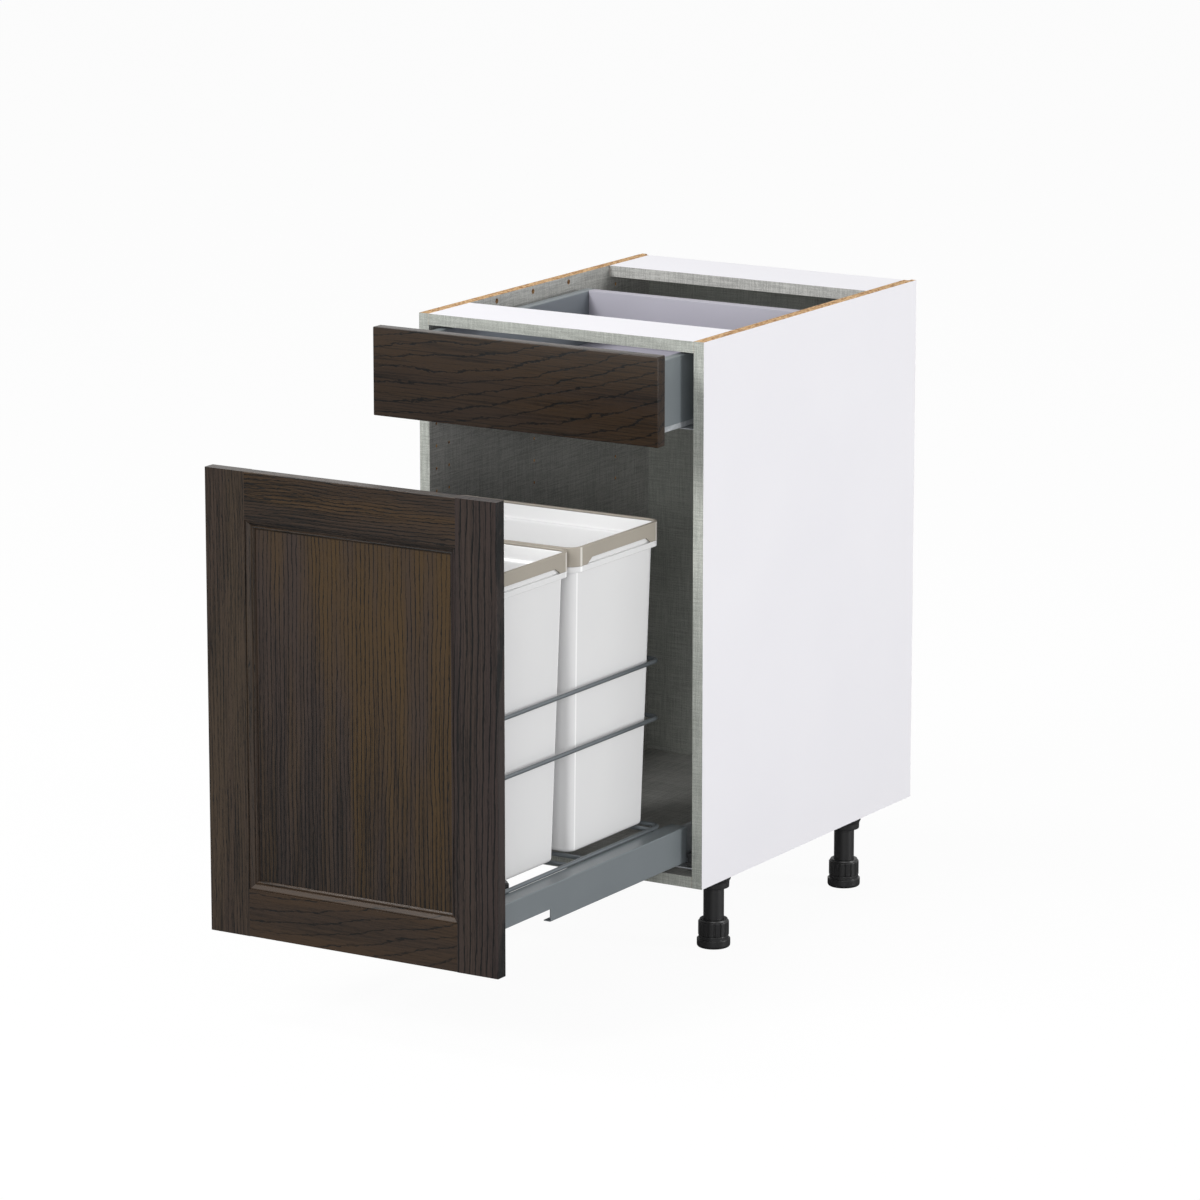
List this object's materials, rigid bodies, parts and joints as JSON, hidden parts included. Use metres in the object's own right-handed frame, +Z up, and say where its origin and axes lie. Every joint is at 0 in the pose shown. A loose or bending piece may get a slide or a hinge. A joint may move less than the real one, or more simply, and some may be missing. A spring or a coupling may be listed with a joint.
{
  "type": "pull-out base cabinet",
  "caption": "Floor-standing kitchen base unit with a shallow drawer above a framed pull-out front that carries open waste bins in a wire cradle on telescopic runners.",
  "frame": {"origin": "on the floor below the middle of the whole unit as pictured, with the pull-out fully open and the drawer a little open", "axes": "+X to the right seen from the front, +Y to the wall, +Z up"},
  "size_m": [0.4572, 1.119, 0.876],
  "materials": {
    "white_board": "melamine-faced board, white outside and grey linen inside",
    "back_board": "grey linen-look board",
    "dowel_wood": "plain beech",
    "dark_oak": "dark stained oak, satin lacquer",
    "drawer_board": "smooth pale melamine board",
    "grey_steel": "satin grey powder coat",
    "bright_steel": "galvanised sheet",
    "grey_wire": "satin grey powder coat on round wire",
    "bin_plastic": "smooth moulded white",
    "rim_plastic": "moulded taupe",
    "black_plastic": "moulded black"
  },
  "bodies": {
    "carcass": {"left_side_panel": "white_board", "right_side_panel": "white_board", "bottom_panel": "white_board", "top_front_rail": "white_board", "top_rear_rail": "white_board", "back_panel": "back_board", "carcass_dowels": "dowel_wood", "runner_caps": "black_plastic", "front_left_leg_socket": "black_plastic", "front_left_leg_tube": "black_plastic", "front_right_leg_socket": "black_plastic", "front_right_leg_tube": "black_plastic", "rear_left_leg_socket": "black_plastic", "rear_left_leg_tube": "black_plastic", "rear_right_leg_socket": "black_plastic", "rear_right_leg_tube": "black_plastic", "drawer_left_cabinet_rail": "bright_steel", "drawer_right_cabinet_rail": "bright_steel", "pull_left_cabinet_rail": "bright_steel", "pull_right_cabinet_rail": "bright_steel"},
    "drawer_middle": {"drawer_left_middle_rail": "bright_steel", "drawer_right_middle_rail": "bright_steel"},
    "drawer": {"drawer_front": "dark_oak", "drawer_base": "drawer_board", "drawer_back": "drawer_board", "drawer_left_side": "grey_steel", "drawer_left_shoe": "bright_steel", "drawer_right_side": "grey_steel", "drawer_right_shoe": "bright_steel"},
    "pullout_middle": {"pull_left_middle_rail": "bright_steel", "pull_right_middle_rail": "bright_steel"},
    "pullout": {"pull_front_left_stile": "dark_oak", "pull_front_right_stile": "dark_oak", "pull_front_top_rail": "dark_oak", "pull_front_bottom_rail": "dark_oak", "pull_front_panel": "dark_oak", "wire_cradle": "grey_wire", "lower_hoop": "grey_wire", "upper_hoop": "grey_wire", "hoop_bosses": "grey_wire", "pull_left_profile": "grey_steel", "pull_left_shoe": "bright_steel", "pull_right_profile": "grey_steel", "pull_right_shoe": "bright_steel"},
    "front_bin": {"front_bin": "bin_plastic"},
    "front_rim": {"front_bin_rim": "rim_plastic"},
    "rear_bin": {"rear_bin": "bin_plastic"},
    "rear_rim": {"rear_bin_rim": "rim_plastic"},
    "front_left_foot": {"front_left_leg_foot": "black_plastic"},
    "front_left_adjuster": {"front_left_leg_adjuster": "black_plastic"},
    "front_right_foot": {"front_right_leg_foot": "black_plastic"},
    "front_right_adjuster": {"front_right_leg_adjuster": "black_plastic"},
    "rear_left_foot": {"rear_left_leg_foot": "black_plastic"},
    "rear_left_adjuster": {"rear_left_leg_adjuster": "black_plastic"},
    "rear_right_foot": {"rear_right_leg_foot": "black_plastic"},
    "rear_right_adjuster": {"rear_right_leg_adjuster": "black_plastic"}
  },
  "joints": [
    {"name": "drawer_slide", "type": "slide", "parent": "carcass", "child": "drawer", "axis": [0, 1, 0], "range_m": [-0.343, 0.097]},
    {"name": "drawer_middle_slide", "type": "slide", "parent": "carcass", "child": "drawer_middle", "axis": [0, 1, 0], "range_m": [-0.1715, 0.0485]},
    {"name": "pullout_slide", "type": "slide", "parent": "carcass", "child": "pullout", "axis": [0, -1, 0], "range_m": [-0.498, 0]},
    {"name": "pullout_middle_slide", "type": "slide", "parent": "carcass", "child": "pullout_middle", "axis": [0, -1, 0], "range_m": [-0.249, 0]},
    {"name": "front_bin_lift", "type": "slide", "parent": "pullout", "child": "front_bin", "axis": [0, 0, 1], "range_m": [0, 0.45]},
    {"name": "front_rim_lift", "type": "slide", "parent": "front_bin", "child": "front_rim", "axis": [0, 0, 1], "range_m": [0, 0.06]},
    {"name": "rear_bin_lift", "type": "slide", "parent": "pullout", "child": "rear_bin", "axis": [0, 0, 1], "range_m": [0, 0.08]},
    {"name": "rear_rim_lift", "type": "slide", "parent": "rear_bin", "child": "rear_rim", "axis": [0, 0, 1], "range_m": [0, 0.03]},
    {"name": "front_left_foot_slide", "type": "slide", "parent": "carcass", "child": "front_left_foot", "axis": [0, 0, -1], "range_m": [-0.008, 0.015]},
    {"name": "front_left_adjuster_turn", "type": "hinge", "parent": "front_left_foot", "child": "front_left_adjuster", "pos_m": [-0.1816, 0.0725, 0.0288], "axis": [0, 0, 1], "range_deg": [-722, 1352]},
    {"name": "front_right_foot_slide", "type": "slide", "parent": "carcass", "child": "front_right_foot", "axis": [0, 0, -1], "range_m": [-0.008, 0.015]},
    {"name": "front_right_adjuster_turn", "type": "hinge", "parent": "front_right_foot", "child": "front_right_adjuster", "pos_m": [0.1816, 0.0725, 0.0288], "axis": [0, 0, 1], "range_deg": [-722, 1352]},
    {"name": "rear_left_foot_slide", "type": "slide", "parent": "carcass", "child": "rear_left_foot", "axis": [0, 0, -1], "range_m": [-0.008, 0.015]},
    {"name": "rear_left_adjuster_turn", "type": "hinge", "parent": "rear_left_foot", "child": "rear_left_adjuster", "pos_m": [-0.1816, 0.4465, 0.0288], "axis": [0, 0, 1], "range_deg": [-722, 1352]},
    {"name": "rear_right_foot_slide", "type": "slide", "parent": "carcass", "child": "rear_right_foot", "axis": [0, 0, -1], "range_m": [-0.008, 0.015]},
    {"name": "rear_right_adjuster_turn", "type": "hinge", "parent": "rear_right_foot", "child": "rear_right_adjuster", "pos_m": [0.1816, 0.4465, 0.0288], "axis": [0, 0, 1], "range_deg": [-722, 1352]}
  ],
  "couplings": [
    {"joint": "drawer_middle_slide", "follows": "drawer_slide", "ratio": 0.5},
    {"joint": "pullout_middle_slide", "follows": "pullout_slide", "ratio": 0.5},
    {"joint": "front_left_adjuster_turn", "follows": "front_left_foot_slide", "rad_per_m": 1570.8},
    {"joint": "front_right_adjuster_turn", "follows": "front_right_foot_slide", "rad_per_m": 1570.8},
    {"joint": "rear_left_adjuster_turn", "follows": "rear_left_foot_slide", "rad_per_m": 1570.8},
    {"joint": "rear_right_adjuster_turn", "follows": "rear_right_foot_slide", "rad_per_m": 1570.8}
  ]
}
